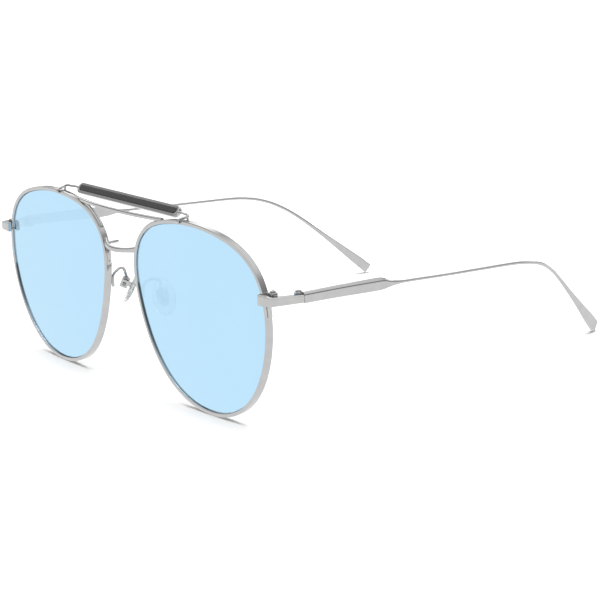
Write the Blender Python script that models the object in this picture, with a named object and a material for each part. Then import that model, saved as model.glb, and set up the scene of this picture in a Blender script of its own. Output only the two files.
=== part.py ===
"""Aviator sunglasses with a double bridge, a clipped brow bar and folding wire temples.

Units are millimetres in the driving values and metres in Blender. +Z is up, the front of the
glasses faces -Y, the temples run towards +Y, and +X is the wearer's left side.
Every shape is first described with Y = 0 at the front plane; DEPTH_CENTRE then moves it all,
so that the origin ends at the middle of the bottom of the bounding box.
"""

import math

import bmesh
import bpy
import numpy as np
from mathutils import Matrix, Vector

MM = 0.001
SIDES = {"left": 1.0, "right": -1.0}

# Lens outline: distance from the lens's centre to its edge every 30 degrees,
# starting at the temple side and going over the top.
LENS_RADII = (29.6, 29.6, 25.8, 24.25, 26.9, 31.4, 28.6, 27.5, 29.0, 30.35, 31.15, 30.05)
LENS_CENTRE_X = 38.18
LENS_CURVE = 399.0
LENS_THICKNESS = 1.2
LENS_RECESS = 0.55
LENS_BEVEL = 0.33
WRAP = math.radians(2.32)
TILT = math.radians(1.58)

# Rims: a flat band of wire, deeper than it is wide.
RIM_WIDTH = 1.17
RIM_DEPTH = 2.05
RIM_EDGE = 0.12
GROOVE_DEPTH = 0.45
RIM_STATIONS = 72
SPLIT_Z = 39.5
SPLIT_GAP = 0.25
BRAZE_GAP = 0.08

# Bars between the rims. Each bows forward in the middle.
BRIDGE_HALF = 8.6
BRIDGE_MIDDLE = (-2.0, 43.85)
BRIDGE_END = (0.9, 44.5)
BRIDGE_HEIGHT = 1.5
BRIDGE_DEPTH = 1.2
BRIDGE_FLARE = 0.25
STUD_X = 6.5
STUD_RADIUS = 0.5
STUD_REAR_Y = 4.0
CROSS_HALF = 22.3
CROSS_MIDDLE = (-1.6, 55.78)
CROSS_END = (0.95, 55.58)
CROSS_HEIGHT = 1.15
CROSS_DEPTH = 1.2
FOOT_THICKNESS = 0.25
FOOT_DEPTHS = (0.5, RIM_DEPTH - 0.4)

# Brow bar: a plate with round ends, its face leaning back, and a dark inlay let into it.
BROW_HALF = 26.9
BROW_Y = 3.5
BROW_Z = 58.3
BROW_WIDTH = 3.55
BROW_THICKNESS = 1.6
BROW_LEAN = math.radians(38.0)
INLAY_WIDTH = 1.68
INLAY_DEPTH = 0.5
INLAY_HALF = 25.9
CLIP_X = 32.9
CLIP_WIRE = 0.39
CLIP_FOOT_Y = 2.55

# Endpieces, hinges and temples.
# Corners of the endpiece plate seen from above, as (x, y)
ENDPIECE_INNER = (67.6, 0.16)
ENDPIECE_STEP = (69.0, 0.43)
ENDPIECE_OUTER = (71.7, 0.95)
ENDPIECE_CORNER = (72.15, 1.3)
ENDPIECE_REAR = 2.7
ENDPIECE_END_REAR = 1.4
ENDPIECE_BEVEL = 0.35
PLATE = 1.4
JOINT_X = 74.0
JOINT_Y = 11.7
JOINT_GAP = 0.12
JOINT_TOP = 40.42
JOINT_BOTTOM = 38.17
HINGE_X = 71.3
BARREL = 1.15
LEAF_THICKNESS = 0.7
ENDPIECE_SPLAY = 0.222
TEMPLE_TAPER = 0.046
HINGE_BOTTOM = 37.8
KNUCKLE = 1.0
KNUCKLE_GAP = 0.1
SCREW_SHAFT = 0.45
SCREW_CLEARANCE = 0.1
# (y, x, z, half thickness, half height of the outer face, top bevel, other edges) along the
# temple. x is the middle of its thickness and z is the middle of its outer face.
TEMPLE_PLATE = (
    (JOINT_Y + JOINT_GAP, 73.30, 39.25, 0.70, 1.16, 0.65, 0.12),
    (25.0, 72.70, 38.53, 0.70, 1.25, 0.70, 0.12),
    (39.5, 72.15, 37.60, 0.70, 1.33, 0.85, 0.12),
    (41.5, 72.08, 37.50, 0.70, 1.25, 0.80, 0.12),
    (46.0, 71.95, 37.15, 0.58, 0.45, 0.35, 0.25),
)
# (y, x, z, radius) along the wire, which joins the blade to the tip.
TEMPLE_WIRE = (
    (51.0, 71.90, 36.85, 0.45),
    (67.0, 71.75, 35.75, 0.44),
    (81.0, 71.50, 34.90, 0.46),
    (96.0, 71.15, 33.90, 0.50),
    (103.3, 70.60, 32.75, 0.52),
    (109.2, 69.20, 30.95, 0.54),
    (115.6, 67.10, 27.55, 0.55),
)
TEMPLE_TIP = (
    (121.6, 64.90, 23.05, 0.55, 0.27, 0.31, 0.31),
    (127.5, 62.90, 17.95, 0.56, 0.46, 0.24, 0.24),
    (132.9, 61.20, 13.15, 0.62, 0.80, 0.20, 0.20),
    (138.2, 59.50, 8.39, 0.75, 1.20, 0.18, 0.18),
    (142.6, 58.10, 4.46, 0.92, 1.50, 0.18, 0.18),
    (145.7, 57.15, 1.58, 0.92, 1.57, 0.18, 0.18),
)
WIRE_STEPS = 3

# Nose pads: each pad rocks on a screw through the square box at the end of its arm.
PAD_BOX = (10.35, 7.95, 29.86)
PAD_SPLAY = math.radians(30.0)
PAD_LEAN = math.radians(9.5)
PAD_FRONTAL = math.radians(46.0)
PAD_LONG = 6.1
PAD_WIDE = 3.55
PAD_THICK = 1.5
PAD_REAR = 2.1
PAD_DROP = 0.13
BOX_SIZE = (2.4, 2.3, 2.8)
CORE_PLATE = 0.35
CORE_HALF_WIDTH = 1.6
CORE_LENGTHS = (-3.2, 2.2)
CORE_GAP = 0.1
PAD_SCREW = 0.33
ARM_WIRE = 0.45
ARM_FOOT = 0.42
ARM_POINTS = (
    (8.75, 2.62, 29.9),
    (8.72, 2.62, 32.6),
    (8.7, 3.1, 33.7),
    (8.8, 4.1, 34.4),
    (9.3, 5.4, 34.8),
    (9.8, 6.7, 34.75),
    (10.15, 7.7, 34.2),
    (10.05, 8.0, 33.2),
    (9.8, 8.15, 32.3),
)

DEPTH_CENTRE = 72.3


def clear_scene():
    for obj in list(bpy.data.objects):
        bpy.data.objects.remove(obj, do_unlink=True)


def make_material(name, colour, roughness, metallic):
    material = bpy.data.materials.new(name)
    material.use_nodes = True
    shader = material.node_tree.nodes["Principled BSDF"]
    shader.inputs["Base Color"].default_value = (*colour, 1.0)
    shader.inputs["Roughness"].default_value = roughness
    shader.inputs["Metallic"].default_value = metallic
    return material


def make_materials():
    return {
        "silver": make_material("silver", (0.80, 0.79, 0.78), 0.15, 1.0),
        "screw": make_material("screw", (0.62, 0.62, 0.63), 0.30, 1.0),
        "lens": make_material("lens", (0.52, 0.79, 1.0), 0.05, 0.6),
        "inlay": make_material("inlay", (0.055, 0.055, 0.06), 0.35, 0.0),
        "pad": make_material("pad", (0.86, 0.90, 0.88), 0.25, 0.0),
    }


# --- outline of a lens and its rim -------------------------------------------------------


def spline_slopes():
    """Slopes at the outline's points that make a closed cubic curve of one even bend."""
    count = len(LENS_RADII)
    radii = np.array(LENS_RADII)
    step = math.tau / count
    matrix = 4.0 * np.eye(count) + np.roll(np.eye(count), 1, axis=1) + np.roll(np.eye(count), -1, axis=1)
    rise = 3.0 * (np.roll(radii, -1) - np.roll(radii, 1)) / step
    return np.linalg.solve(matrix, rise)


SLOPES = spline_slopes()


def lens_radius(angle):
    count = len(LENS_RADII)
    step = math.tau / count
    turn = (angle % math.tau) / step
    start = int(turn) % count
    end = (start + 1) % count
    t = turn - int(turn)
    return (
        (2 * t**3 - 3 * t**2 + 1) * LENS_RADII[start]
        + (t**3 - 2 * t**2 + t) * step * SLOPES[start]
        + (3 * t**2 - 2 * t**3) * LENS_RADII[end]
        + (t**3 - t**2) * step * SLOPES[end]
    )


def outline_point(angle, offset=0.0):
    """Point on the lens's edge in its own plane, moved outward by offset. u is outward, v is up."""
    radius = lens_radius(angle)
    ahead = lens_radius(angle + 0.01)
    behind = lens_radius(angle - 0.01)
    along = Vector(
        (
            ahead * math.cos(angle + 0.01) - behind * math.cos(angle - 0.01),
            ahead * math.sin(angle + 0.01) - behind * math.sin(angle - 0.01),
        )
    ).normalized()
    return Vector((radius * math.cos(angle) + offset * along.y, radius * math.sin(angle) - offset * along.x))


def from_lens_plane(u, v, depth):
    """Lens-plane point to the frame: curved, wrapped round the face, then tilted."""
    sag = (u * u + v * v) / (2.0 * LENS_CURVE) + depth
    x = u * math.cos(WRAP) - sag * math.sin(WRAP) + LENS_CENTRE_X
    y = u * math.sin(WRAP) + sag * math.cos(WRAP)
    return Vector((x, y * math.cos(TILT) - v * math.sin(TILT), y * math.sin(TILT) + v * math.cos(TILT)))


def lens_centre_height():
    """The rims stand on the floor, so the lens's centre is as high as its rim reaches down."""
    angles = np.linspace(0.0, math.tau, 720)
    lowest = 0.0
    for angle in angles:
        point = outline_point(angle, RIM_WIDTH)
        for depth in (0.0, RIM_DEPTH):
            lowest = min(lowest, from_lens_plane(point.x, point.y, depth).z)
    return -lowest


LENS_CENTRE_Z = lens_centre_height()


def rim_point(angle, offset, depth):
    flat = outline_point(angle, offset)
    return from_lens_plane(flat.x, flat.y, depth) + Vector((0.0, 0.0, LENS_CENTRE_Z))


def angle_at_height(z, temple_side):
    """Angle at which the rim's outer edge reaches height z, on the temple or the nose side."""
    low, high = (-0.6, 1.2) if temple_side else (math.pi + 0.3, math.pi / 2 + 0.2)
    for _ in range(40):
        middle = (low + high) / 2
        if rim_point(middle, RIM_WIDTH, 0.0).z < z:
            low = middle
        else:
            high = middle
    return (low + high) / 2


# --- mesh building ------------------------------------------------------------------------


def new_object(name, bm, material, side=1.0):
    """Object from a bmesh in millimetres, mirrored in X for the right side."""
    mesh = bpy.data.meshes.new(name)
    for vert in bm.verts:
        vert.co = Vector((vert.co.x * side, vert.co.y - DEPTH_CENTRE, vert.co.z)) * MM
    bmesh.ops.recalc_face_normals(bm, faces=bm.faces)
    bm.to_mesh(mesh)
    bm.free()
    mesh.shade_smooth()
    mesh.set_sharp_from_angle(angle=math.radians(35.0))
    obj = bpy.data.objects.new(name, mesh)
    bpy.context.scene.collection.objects.link(obj)
    if material is not None:
        mesh.materials.append(material)
    return obj


def loft(rings, closed=False, caps=True):
    """A skin over rings of points that all have the same count."""
    bm = bmesh.new()
    rows = [[bm.verts.new(point) for point in ring] for ring in rings]
    pairs = list(zip(rows, rows[1:]))
    if closed:
        pairs.append((rows[-1], rows[0]))
    for first, second in pairs:
        for i in range(len(first)):
            j = (i + 1) % len(first)
            bm.faces.new((first[i], first[j], second[j], second[i]))
    if caps and not closed:
        bm.faces.new(reversed(rows[0]))
        bm.faces.new(rows[-1])
    return bm


def prism(outline, low, high):
    """Upright prism over an outline of (x, y) points."""
    return loft([[Vector((x, y, z)) for x, y in outline] for z in (low, high)])


def box(low, high):
    x0, y0, z0 = low
    x1, y1, z1 = high
    return prism(((x0, y0), (x1, y0), (x1, y1), (x0, y1)), z0, z1)


def cylinder(centre, radius, low, high, sides=20):
    angles = [math.tau * i / sides for i in range(sides)]
    outline = [(centre[0] + radius * math.cos(a), centre[1] + radius * math.sin(a)) for a in angles]
    return prism(outline, low, high)


def wire_object(name, points, radius, material, side=1.0, resolution=2):
    """A round wire through points: a curve with a bevel, turned into a mesh."""
    curve = bpy.data.curves.new(name, "CURVE")
    curve.dimensions = "3D"
    curve.bevel_depth = radius * MM
    curve.bevel_resolution = resolution
    curve.use_fill_caps = True
    spline = curve.splines.new("POLY")
    smooth = smooth_points(points, WIRE_STEPS)
    spline.points.add(len(smooth) - 1)
    for target, point in zip(spline.points, smooth):
        target.co = (point[0] * side * MM, (point[1] - DEPTH_CENTRE) * MM, point[2] * MM, 1.0)
    helper = bpy.data.objects.new(name + "_curve", curve)
    bpy.context.scene.collection.objects.link(helper)
    graph = bpy.context.evaluated_depsgraph_get()
    mesh = bpy.data.meshes.new_from_object(helper.evaluated_get(graph))
    bpy.data.objects.remove(helper)
    bm = bmesh.new()
    bm.from_mesh(mesh)
    bmesh.ops.remove_doubles(bm, verts=bm.verts, dist=1e-7)
    bmesh.ops.recalc_face_normals(bm, faces=bm.faces)
    bm.to_mesh(mesh)
    bm.free()
    mesh.materials.clear()
    mesh.materials.append(material)
    mesh.shade_smooth()
    obj = bpy.data.objects.new(name, mesh)
    bpy.context.scene.collection.objects.link(obj)
    return obj


def smooth_points(points, steps):
    """Catmull-Rom points through a list, steps to each span, in any number of dimensions."""
    rows = [np.array(point, float) for point in points]
    rows = [2 * rows[0] - rows[1], *rows, 2 * rows[-1] - rows[-2]]
    result = []
    for before, start, end, after in zip(rows, rows[1:], rows[2:], rows[3:]):
        for step in range(steps):
            t = step / steps
            result.append(
                0.5
                * (
                    2 * start
                    + (end - before) * t
                    + (2 * before - 5 * start + 4 * end - after) * t**2
                    + (3 * start - before - 3 * end + after) * t**3
                )
            )
    result.append(rows[-2])
    return result


def apply_boolean(obj, other, operation, keep_other=False):
    modifier = obj.modifiers.new(operation.lower(), "BOOLEAN")
    modifier.object = other
    modifier.operation = operation
    modifier.solver = "EXACT"
    graph = bpy.context.evaluated_depsgraph_get()
    mesh = bpy.data.meshes.new_from_object(obj.evaluated_get(graph))
    obj.modifiers.clear()
    old = obj.data
    obj.data = mesh
    bpy.data.meshes.remove(old)
    mesh.shade_smooth()
    mesh.set_sharp_from_angle(angle=math.radians(35.0))
    if not keep_other:
        bpy.data.objects.remove(other)


def fuse(name, bodies, material, side=1.0):
    """One solid from several that overlap."""
    obj = new_object(name, bodies[0], material, side)
    for index, body in enumerate(bodies[1:]):
        apply_boolean(obj, new_object(f"{name}_part{index}", body, material, side), "UNION")
    return obj


def cut(obj, body, side=1.0):
    apply_boolean(obj, new_object(obj.name + "_cut", body, None, side), "DIFFERENCE")


def hide_helper(obj):
    obj.hide_render = True
    obj.hide_viewport = True
    obj.display_type = "WIRE"


# --- lenses and rims ------------------------------------------------------------------------


def ring_angles(count=RIM_STATIONS):
    return [math.tau * i / count for i in range(count)]


def build_lens(name, side, material):
    front, rear = LENS_RECESS, LENS_RECESS + LENS_THICKNESS
    middle = (front + rear) / 2
    rings = []
    for share in (0.04, 0.35, 0.7):
        rings.append([scaled_point(angle, share, front) for angle in ring_angles()])
    for offset, depth in ((-0.08, front), (LENS_BEVEL, middle), (-0.08, rear)):
        rings.append([rim_point(angle, offset, depth) for angle in ring_angles()])
    for share in (0.7, 0.35, 0.04):
        rings.append([scaled_point(angle, share, rear) for angle in ring_angles()])
    return new_object(name, loft(rings), material, side)


def scaled_point(angle, share, depth):
    flat = outline_point(angle, -0.08) * share
    return from_lens_plane(flat.x, flat.y, depth) + Vector((0.0, 0.0, LENS_CENTRE_Z))


def rim_profile():
    """(outward, backward) section of the rim wire, with the V groove that holds the lens."""
    middle = LENS_RECESS + LENS_THICKNESS / 2
    half = LENS_THICKNESS / 2 - 0.1
    return (
        (0.0, RIM_EDGE),
        (RIM_EDGE, 0.0),
        (RIM_WIDTH - RIM_EDGE, 0.0),
        (RIM_WIDTH, RIM_EDGE),
        (RIM_WIDTH, RIM_DEPTH - RIM_EDGE),
        (RIM_WIDTH - RIM_EDGE, RIM_DEPTH),
        (0.0, RIM_DEPTH),
        (0.0, middle + half),
        (GROOVE_DEPTH, middle),
        (0.0, middle - half),
    )


def build_rim(name, side, material):
    """A ring of wire with a narrow split at the temple side, which the closing screw draws shut."""
    split = angle_at_height(SPLIT_Z, True)
    half_gap = SPLIT_GAP / 2 / lens_radius(split)
    angles = np.linspace(split + half_gap, split + math.tau - half_gap, RIM_STATIONS + 1)
    rings = [[rim_point(angle, *corner) for corner in rim_profile()] for angle in angles]
    return new_object(name, loft(rings), material, side)


def rim_envelope(name, side):
    """The space that a lens and its rim take up, with a thin gap: brazed pieces are cut back by it."""
    low, high = -BRAZE_GAP, RIM_DEPTH + BRAZE_GAP
    rings = []
    for depth in (low, high):
        rings.append([rim_point(angle, RIM_WIDTH + BRAZE_GAP, depth) for angle in ring_angles()])
    obj = new_object(name, loft(rings), None, side)
    hide_helper(obj)
    return obj


def rim_strip(first_angle, last_angle, thickness, low, high, steps=10):
    """A strip that follows the rim's outer wall, brazed to it."""
    near = RIM_WIDTH - 0.3
    far = RIM_WIDTH + BRAZE_GAP + thickness
    rings = []
    for angle in np.linspace(first_angle, last_angle, steps):
        corners = ((near, low), (far, low), (far, high), (near, high))
        rings.append([rim_point(angle, *corner) for corner in corners])
    return loft(rings)


# --- bars between the rims ----------------------------------------------------------------


def bar(half, middle, end, height, depth, flare=0.0, stations=17):
    """A bar along X whose centre line bows from middle to end, both (y, z)."""
    rings = []
    edge = 0.25
    for x in np.linspace(-half, half, stations):
        share = (x / half) ** 2
        y = middle[0] + (end[0] - middle[0]) * share
        z = middle[1] + (end[1] - middle[1]) * share
        a = depth / 2 + flare * share**3 * 0.4
        b = height / 2 + flare * share**3
        section = ((-a, -b + edge), (-a, b - edge), (-a + edge, b), (a - edge, b))
        section += ((a, b - edge), (a, -b + edge), (a - edge, -b), (-a + edge, -b))
        rings.append([Vector((x, y + dy, z + dz)) for dy, dz in section])
    return loft(rings)


def mirror_points(bm):
    """Reflects a bmesh in X, for the right half of a piece that spans both sides."""
    for vert in bm.verts:
        vert.co.x = -vert.co.x
    return bm


def rim_feet(top_z, bottom_z):
    """The two strips that are brazed to the nose sides of the rims."""
    top = angle_at_height(top_z, False)
    bottom = angle_at_height(bottom_z, False)
    left, right = (rim_strip(top, bottom, FOOT_THICKNESS, *FOOT_DEPTHS) for _ in SIDES)
    return [left, mirror_points(right)]


def stud(x, front_y, rear_y, z):
    """Short round pin along Y."""
    rings = []
    for y in (front_y, rear_y):
        angles = [math.tau * i / 16 for i in range(16)]
        rings.append([Vector((x + STUD_RADIUS * math.cos(a), y, z + STUD_RADIUS * math.sin(a))) for a in angles])
    return loft(rings)


def build_bridge(material, envelopes):
    """The lower bar, its brazed feet, and the two pins that stand back from it."""
    bodies = [bar(BRIDGE_HALF, BRIDGE_MIDDLE, BRIDGE_END, BRIDGE_HEIGHT, BRIDGE_DEPTH, BRIDGE_FLARE)]
    bodies += rim_feet(BRIDGE_END[1] + 1.0, 37.35)
    share = (STUD_X / BRIDGE_HALF) ** 2
    bar_y, bar_z = (m + (e - m) * share for m, e in zip(BRIDGE_MIDDLE, BRIDGE_END))
    for side in SIDES.values():
        bodies.append(stud(STUD_X * side, bar_y, STUD_REAR_Y, bar_z))
    obj = fuse("bridge", bodies, material)
    for envelope in envelopes.values():
        apply_boolean(obj, envelope, "DIFFERENCE", keep_other=True)
    return obj


def build_cross_bar(material, envelopes):
    bodies = [bar(CROSS_HALF, CROSS_MIDDLE, CROSS_END, CROSS_HEIGHT, CROSS_DEPTH)]
    bodies += rim_feet(55.15, 48.35)
    obj = fuse("cross_bar", bodies, material)
    for envelope in envelopes.values():
        apply_boolean(obj, envelope, "DIFFERENCE", keep_other=True)
    return obj


def stadium(half_length, half_width, arc_steps=6):
    """Outline with two straight sides and round ends, in its own plane."""
    points = []
    for centre, start in ((half_length - half_width, -90.0), (half_width - half_length, 90.0)):
        for step in range(arc_steps + 1):
            angle = math.radians(start + 180.0 * step / arc_steps)
            points.append((centre + half_width * math.cos(angle), half_width * math.sin(angle)))
    return points


def brow_plane(along, across, out):
    """Point on the leaning face of the brow bar; out is measured off the face, towards the front."""
    return Vector(
        (
            along,
            BROW_Y + across * math.sin(BROW_LEAN) - out * math.cos(BROW_LEAN),
            BROW_Z + across * math.cos(BROW_LEAN) + out * math.sin(BROW_LEAN),
        )
    )


def stadium_plate(half_length, half_width, low, high):
    rings = []
    for out in (low, high):
        rings.append([brow_plane(a, b, out) for a, b in stadium(half_length, half_width)])
    return loft(rings)


def build_brow_bar(materials):
    body = loft(
        [
            [brow_plane(a, b, out) for a, b in stadium(BROW_HALF - shrink, BROW_WIDTH / 2 - shrink)]
            for out, shrink in ((-BROW_THICKNESS, 0.55), (-0.5, 0.0), (-0.15, 0.0), (0.0, 0.15))
        ]
    )
    plate = new_object("brow_bar", body, materials["silver"])
    cut(plate, stadium_plate(INLAY_HALF + 0.08, INLAY_WIDTH / 2 + 0.08, -INLAY_DEPTH, 1.0))
    inlay = stadium_plate(INLAY_HALF, INLAY_WIDTH / 2, -INLAY_DEPTH + 0.08, -0.03)
    new_object("brow_bar_inlay", inlay, materials["inlay"])


def build_brow_clip(name, side, material, envelope):
    """Wire from the end of the brow bar, out to a corner, then forward over the rim to a claw."""
    rim_top = rim_point(angle_of_x(CLIP_X), RIM_WIDTH, RIM_DEPTH / 2)
    claw_y = rim_point(angle_of_x(CLIP_X), RIM_WIDTH, 0.0).y - CLIP_WIRE - BRAZE_GAP
    corner_z = rim_top.z + 0.9
    bar_end = brow_plane(BROW_HALF, 0.0, -BROW_THICKNESS / 2)
    path = (
        (bar_end.x + 0.1, bar_end.y - 0.3, bar_end.z + 0.2),
        (bar_end.x + 1.6, bar_end.y - 0.5, bar_end.z + 0.36),
        (bar_end.x + 3.3, bar_end.y - 0.85, bar_end.z + 0.34),
        (CLIP_X - 0.9, 2.95, corner_z + 0.28),
        (CLIP_X + 0.1, 2.65, corner_z),
        (CLIP_X + 0.05, 1.9, corner_z - 0.2),
        (CLIP_X - 0.15, 0.8, corner_z - 0.36),
        (CLIP_X - 0.35, claw_y + 0.45, corner_z - 0.55),
        (CLIP_X - 0.5, claw_y, rim_top.z - 0.1),
        (CLIP_X - 0.55, claw_y, rim_top.z - 0.8),
    )
    wire = wire_object(name, path, CLIP_WIRE, material, side)
    foot = cylinder((CLIP_X + 0.05, CLIP_FOOT_Y), CLIP_WIRE * 0.9, rim_top.z - 0.75, corner_z, sides=12)
    apply_boolean(wire, new_object(name + "_foot", foot, material, side), "UNION")
    apply_boolean(wire, envelope, "DIFFERENCE", keep_other=True)


def angle_of_x(x):
    """Angle at which the rim's outer edge, over the top, reaches the given X."""
    low, high = math.radians(40.0), math.radians(150.0)
    for _ in range(40):
        middle = (low + high) / 2
        if rim_point(middle, RIM_WIDTH, 0.0).x > x:
            low = middle
        else:
            high = middle
    return (low + high) / 2


# --- endpieces and closing blocks -----------------------------------------------------------


def plate_section(outer, inner, low, high):
    """Upright section of the endpiece, with its top bevelled on the outer side."""
    edge = 0.12
    inward = (Vector(inner) - Vector(outer)).normalized()
    return (
        Vector((*outer, low + edge)),
        Vector((*outer, high - ENDPIECE_BEVEL)),
        Vector((*(Vector(outer) + inward * ENDPIECE_BEVEL), high)),
        Vector((*(Vector(inner) - inward * edge), high)),
        Vector((*inner, high - edge)),
        Vector((*inner, low + edge)),
        Vector((*(Vector(inner) - inward * edge), low)),
        Vector((*(Vector(outer) + inward * edge), low)),
    )


def build_endpiece(name, side, material, envelope):
    """Square plate across the front of the rim, folded back at the corner to the hinge."""
    joint = JOINT_Y - JOINT_GAP
    fold = ENDPIECE_CORNER[0] - PLATE
    rings = (
        plate_section(ENDPIECE_INNER, (ENDPIECE_INNER[0], ENDPIECE_END_REAR), 38.38, 41.57),
        plate_section(ENDPIECE_STEP, (ENDPIECE_STEP[0], ENDPIECE_REAR), 38.4, 41.41),
        plate_section(ENDPIECE_OUTER, (fold - 0.25, ENDPIECE_REAR), 38.44, 41.1),
        plate_section(ENDPIECE_CORNER, (fold - 0.05, ENDPIECE_REAR + 0.2), 38.45, 41.07),
        plate_section((JOINT_X, joint), (JOINT_X - PLATE, joint), JOINT_BOTTOM, JOINT_TOP),
    )
    obj = new_object(name, loft(rings), material, side)
    apply_boolean(obj, envelope, "DIFFERENCE", keep_other=True)
    return obj


BLOCK_LOW = (68.0, 2.85)
BLOCK_HIGH = (70.45, 5.2)
BLOCK_SCREW = (69.35, 4.35)
TAIL_THICKNESS = 0.2
TAIL_DEPTHS = (0.3, RIM_DEPTH - 0.2)


def build_closing_blocks(prefix, side, materials, envelope):
    """Two small blocks, one on each end of the split rim, and the screw that draws them together."""
    gap = 0.06
    bottom_top = SPLIT_Z - gap
    upper = new_object(
        prefix + "_upper_closing_block",
        box((*BLOCK_LOW, SPLIT_Z + gap), (*BLOCK_HIGH, 41.75)),
        materials["silver"],
        side,
    )
    tail_top = angle_at_height(39.05, True)
    tail_bottom = angle_at_height(34.65, True)
    tail = rim_strip(tail_top, tail_bottom, TAIL_THICKNESS, *TAIL_DEPTHS)
    body = box((*BLOCK_LOW, 38.35), (*BLOCK_HIGH, bottom_top))
    lower = fuse(prefix + "_lower_closing_block", [body, tail], materials["silver"], side)
    cut(lower, box((60.0, -3.0, 37.75), (ENDPIECE_CORNER[0], ENDPIECE_REAR + BRAZE_GAP, 41.75)), side)
    for block in (upper, lower):
        apply_boolean(block, envelope, "DIFFERENCE", keep_other=True)
        hole = cylinder(BLOCK_SCREW, 0.4 + SCREW_CLEARANCE, 37.45, 42.75, sides=16)
        cut(block, hole, side)
    shaft = cylinder(BLOCK_SCREW, 0.4, 38.5, 42.05, sides=16)
    head = cylinder(BLOCK_SCREW, 0.8, 41.83, 42.25, sides=16)
    screw = fuse(prefix + "_closing_screw", [head, shaft], materials["screw"], side)
    slot_x, slot_y = BLOCK_SCREW
    slot = box((slot_x - 1.0, slot_y - 0.12, 42.05), (slot_x + 1.0, slot_y + 0.12, 42.75))
    cut(screw, slot, side)


# --- hinges and temples ------------------------------------------------------------------------


def knuckle(low, high, towards):
    """One barrel of the hinge with the arm that joins it to its leaf. towards is -1 or +1 in Y."""
    axis = (HINGE_X, JOINT_Y)
    barrel = cylinder(axis, BARREL, low, high, sides=24)
    inner = HINGE_X + 0.1
    outer = JOINT_X - PLATE
    near = JOINT_Y + towards * 0.2
    far = JOINT_Y + towards * (BARREL + 0.6)
    arm = box((inner, min(near, far), low), (outer, max(near, far), high))
    return [barrel, arm]


def hinge_levels():
    """Bottom and top of the three barrels, from the lowest up."""
    levels = []
    low = HINGE_BOTTOM
    for _ in range(3):
        levels.append((low, low + KNUCKLE))
        low += KNUCKLE + KNUCKLE_GAP
    return levels


def wall_x(y):
    """X of the inner faces that the hinge leaves are brazed to: the endpiece's, then the temple's."""
    inner = JOINT_X - PLATE
    if y < JOINT_Y:
        return inner - (JOINT_Y - y) * ENDPIECE_SPLAY
    return inner - (y - JOINT_Y) * TEMPLE_TAPER


def leaf(towards, length, low, high):
    start = JOINT_Y + towards * (BARREL + 0.25)
    end = start + towards * length
    thick = LEAF_THICKNESS + BRAZE_GAP
    outline = (
        (wall_x(start) - thick, start),
        (JOINT_X, start),
        (JOINT_X, end),
        (wall_x(end) - thick, end),
    )
    return prism(outline, low, high)


def wall_cutter(towards):
    """Everything outside the inner face of the endpiece or the temple, with the brazing gap."""
    near = JOINT_Y
    far = JOINT_Y + towards * 9.0
    outline = (
        (wall_x(near) - BRAZE_GAP, near),
        (wall_x(far) - BRAZE_GAP, far),
        (JOINT_X + 3.0, far),
        (JOINT_X + 3.0, near),
    )
    return prism(outline, HINGE_BOTTOM - 1.0, HINGE_BOTTOM + 6.0)


def build_hinge(prefix, side, materials):
    bottom, middle, top = hinge_levels()
    front_bodies = [*knuckle(*bottom, -1), *knuckle(*top, -1), leaf(-1, 3.0, bottom[0] + 0.4, top[0] + 0.3)]
    front = fuse(prefix + "_front_hinge", front_bodies, materials["silver"], side)
    rear_bodies = [*knuckle(*middle, 1), leaf(1, 3.6, bottom[0] + 0.45, middle[1] - 0.15)]
    rear = fuse(prefix + "_temple_hinge", rear_bodies, materials["silver"], side)
    axis = (HINGE_X, JOINT_Y)
    for piece, towards in ((front, -1), (rear, 1)):
        cut(piece, wall_cutter(towards), side)
        hole = cylinder(axis, SCREW_SHAFT + SCREW_CLEARANCE, HINGE_BOTTOM - 1.0, top[1] + 1.0, sides=20)
        cut(piece, hole, side)
    shaft = cylinder(axis, SCREW_SHAFT, HINGE_BOTTOM + 0.05, top[1] + 0.2, sides=20)
    head = cylinder(axis, 0.85, top[1] + 0.06, top[1] + 0.42, sides=20)
    screw = fuse(prefix + "_hinge_screw", [head, shaft], materials["screw"], side)
    slot = box((axis[0] - 1.0, axis[1] - 0.12, top[1] + 0.27), (axis[0] + 1.0, axis[1] + 0.12, top[1] + 1.0))
    cut(screw, slot, side)
    return rear


def temple_ring(centre, ahead, half_thickness, face, bevel, edge):
    """Section square to the temple's path: a flat outer face with a bevel above it."""
    along = ahead.normalized()
    outward = Vector((along.y, -along.x, 0.0)).normalized()
    upward = outward.cross(along)
    a = half_thickness
    top = face + bevel
    corners = ((a, -face), (a, face), (a - bevel, top), (-a + edge, top))
    corners += ((-a, top - edge), (-a, -face), (-a + edge, -face - edge), (a - edge, -face - edge))
    return [centre + outward * p + upward * q for p, q in corners]


def round_row(y, x, z, radius):
    """A temple row whose section is a regular octagon: a round wire."""
    corner = radius * (2.0 - math.sqrt(2.0))
    return (y, x, z, radius, radius - corner, corner, corner)


def build_temple(name, side, material):
    wire = [round_row(*row) for row in TEMPLE_WIRE]
    stations = [*TEMPLE_PLATE, *smooth_points([*wire, *TEMPLE_TIP], WIRE_STEPS)]
    centres = [Vector((row[1], row[0], row[2])) for row in stations]
    rings = []
    for index, row in enumerate(stations):
        before = centres[max(index - 1, 0)]
        after = centres[min(index + 1, len(centres) - 1)]
        ahead = Vector((0.0, 1.0, 0.0)) if index == 0 else after - before
        rings.append(temple_ring(centres[index], ahead, *row[3:]))
    return new_object(name, loft(rings), material, side)


# --- nose pads ------------------------------------------------------------------------------------


def pad_axes():
    """(facing, wide, long) directions of a left pad: facing the nose, forward, and up its length."""
    across = math.cos(PAD_LEAN)
    length = Vector((-math.sin(PAD_SPLAY) * across, math.sin(PAD_LEAN), math.cos(PAD_SPLAY) * across))
    facing = Vector((-math.cos(PAD_FRONTAL), math.sin(PAD_FRONTAL), 0.0))
    facing = (facing - length * facing.dot(length)).normalized()
    return facing, length.cross(facing), length


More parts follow.
